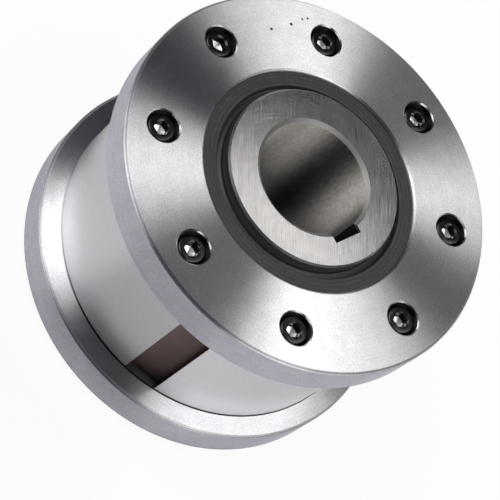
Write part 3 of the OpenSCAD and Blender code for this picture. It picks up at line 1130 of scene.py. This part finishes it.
class CLUTCH_OT_seals(bpy.types.Operator):
    """Make the rubber shaft seals with their moulded lips, and the coils that hold the lips down"""

    bl_idname = "clutch.seals"
    bl_label = "Shaft seals"

    def execute(self, context):
        sizes = context.scene.clutch_springs
        rubber = seal_rubber("seal_rubber", chosen("rubber"))
        wire = plain_metal("garter_wire", chosen("spring"), 0.30)
        for end in ENDS:
            seal = lathe("lip_seal", seal_outline(SEAL_FACE), 160)
            end_piece(end, "lip_seal", seal, rubber, "shaft_seal")
            coil = garter_mesh(sizes, GARTER_Z, wire)
            end_piece(end, "garter_coil", coil, wire, "seal_spring")
        return {"FINISHED"}


class CLUTCH_OT_gaskets(bpy.types.Operator):
    """Finish the gaskets"""

    bl_idname = "clutch.gaskets"
    bl_label = "Gaskets"

    def execute(self, context):
        felt = fibre("pressed_fibre", chosen("gasket"))
        for end in ENDS:
            dress(f"{end}_gasket", felt)
        return {"FINISHED"}


class CLUTCH_OT_screws(bpy.types.Operator):
    """Make the socket head screws of both flanges"""

    bl_idname = "clutch.screws"
    bl_label = "Flange screws"

    def execute(self, context):
        sizes = context.scene.clutch_screws
        oxide = black_oxide("black_oxide", chosen("oxide"))
        pattern = bpy.data.objects.new("socket_screw", screw_mesh(sizes))
        seat = SCREW_TOP - sizes.head_height
        for end, first in zip(ENDS, (sizes.first, -sizes.first)):
            screws = screws_round_shaft(pattern, sizes.count, sizes.circle, first, seat, oxide)
            end_piece(end, "socket_screws", screws, oxide, "flange_screws")
        bpy.data.objects.remove(pattern)
        return {"FINISHED"}


class CLUTCH_OT_bearings(bpy.types.Operator):
    """Finish the ball bearings and the retaining rings"""

    bl_idname = "clutch.bearings"
    bl_label = "Bearings"

    def execute(self, context):
        polished = plain_metal("bearing_steel", chosen("bearing"), 0.16)
        brass = plain_metal("cage_brass", chosen("cage"), 0.34)
        dark = plain_metal("phosphated_steel", PHOSPHATE, 0.45)
        for end in ENDS:
            dress(f"{end}_bearing_outer_race", polished)
            dress(f"{end}_bearing_inner_race", polished)
            dress(f"{end}_bearing_balls", polished)
            dress(f"{end}_bearing_cage", brass)
            dress(f"{end}_retaining_ring", dark)
        return {"FINISHED"}


class CLUTCH_OT_rollers(bpy.types.Operator):
    """Finish the rollers and their plungers, and coil a spring behind each plunger"""

    bl_idname = "clutch.rollers"
    bl_label = "Rollers and springs"

    def execute(self, context):
        sizes = context.scene.clutch_springs
        polished = plain_metal("roller_steel", chosen("bearing"), 0.20)
        drawn = plain_metal("plunger_steel", chosen("plunger"), 0.36)
        wire = plain_metal("spring_wire", chosen("spring"), 0.30)
        low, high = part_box("plunger_spring_1")
        length = high.y - low.y
        radius = (high.z - low.z) / 2 - sizes.plunger_wire
        for k in range(1, ROLLER_COUNT + 1):
            dress(f"roller_{k}", polished)
            dress(f"plunger_{k}", drawn)
            station = Matrix.Rotation((k - 1) * TURN / ROLLER_COUNT, 4, "Z")
            start = Matrix.Translation(((low.x + high.x) / 2, low.y, MID_Z))
            coil = coil_mesh(sizes.plunger_turns, radius, sizes.plunger_wire, length, wire)
            coil.transform(station @ start @ Matrix.Rotation(math.radians(-90), 4, "X"))
            spring = new_piece(
                f"plunger_coil_{k}",
                coil,
                wire,
                "inner_ring_assembly",
                f"plunger_spring_{k}",
            )
            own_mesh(spring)
        return {"FINISHED"}


class CLUTCH_OT_stage(bpy.types.Operator):
    """Build the camera, the floor, the lamps and the studio round the clutch"""

    bl_idname = "clutch.stage"
    bl_label = "Stage"

    def execute(self, context):
        stage = context.scene.clutch_stage
        context.scene.view_settings.view_transform = "Standard"
        add_camera(stage)
        add_floor(stage)
        add_world(stage)
        for lamp in LAMPS:
            add_lamp(*lamp)
        add_card(stage)
        return {"FINISHED"}


OPERATORS = (
    CLUTCH_OT_stage,
    CLUTCH_OT_flanges,
    CLUTCH_OT_outer_ring,
    CLUTCH_OT_inner_ring,
    CLUTCH_OT_seals,
    CLUTCH_OT_gaskets,
    CLUTCH_OT_screws,
    CLUTCH_OT_bearings,
    CLUTCH_OT_rollers,
)


class CLUTCH_PT_panel(bpy.types.Panel):
    """Lists the pieces of the clutch, in the sidebar"""

    bl_idname = "CLUTCH_PT_panel"
    bl_label = "Overrunning clutch"
    bl_space_type = "VIEW_3D"
    bl_region_type = "UI"
    bl_category = "Clutch"

    def draw(self, context):
        for operator in OPERATORS:
            self.layout.operator(operator.bl_idname)


GROUPS = {
    "clutch_finish": ClutchFinish,
    "clutch_screws": ClutchScrews,
    "clutch_springs": ClutchSprings,
    "clutch_stage": ClutchStage,
}


def register():
    for group in GROUPS.values():
        bpy.utils.register_class(group)
    for name, group in GROUPS.items():
        setattr(bpy.types.Scene, name, bpy.props.PointerProperty(type=group))
    for operator in OPERATORS:
        bpy.utils.register_class(operator)
    bpy.utils.register_class(CLUTCH_PT_panel)


def unregister():
    bpy.utils.unregister_class(CLUTCH_PT_panel)
    for operator in reversed(OPERATORS):
        bpy.utils.unregister_class(operator)
    for name in GROUPS:
        delattr(bpy.types.Scene, name)
    for group in GROUPS.values():
        bpy.utils.unregister_class(group)


def main():
    register()
    for operator in OPERATORS:
        group, name = operator.bl_idname.split(".")
        getattr(getattr(bpy.ops, group), name)()


if __name__ == "__main__":
    main()
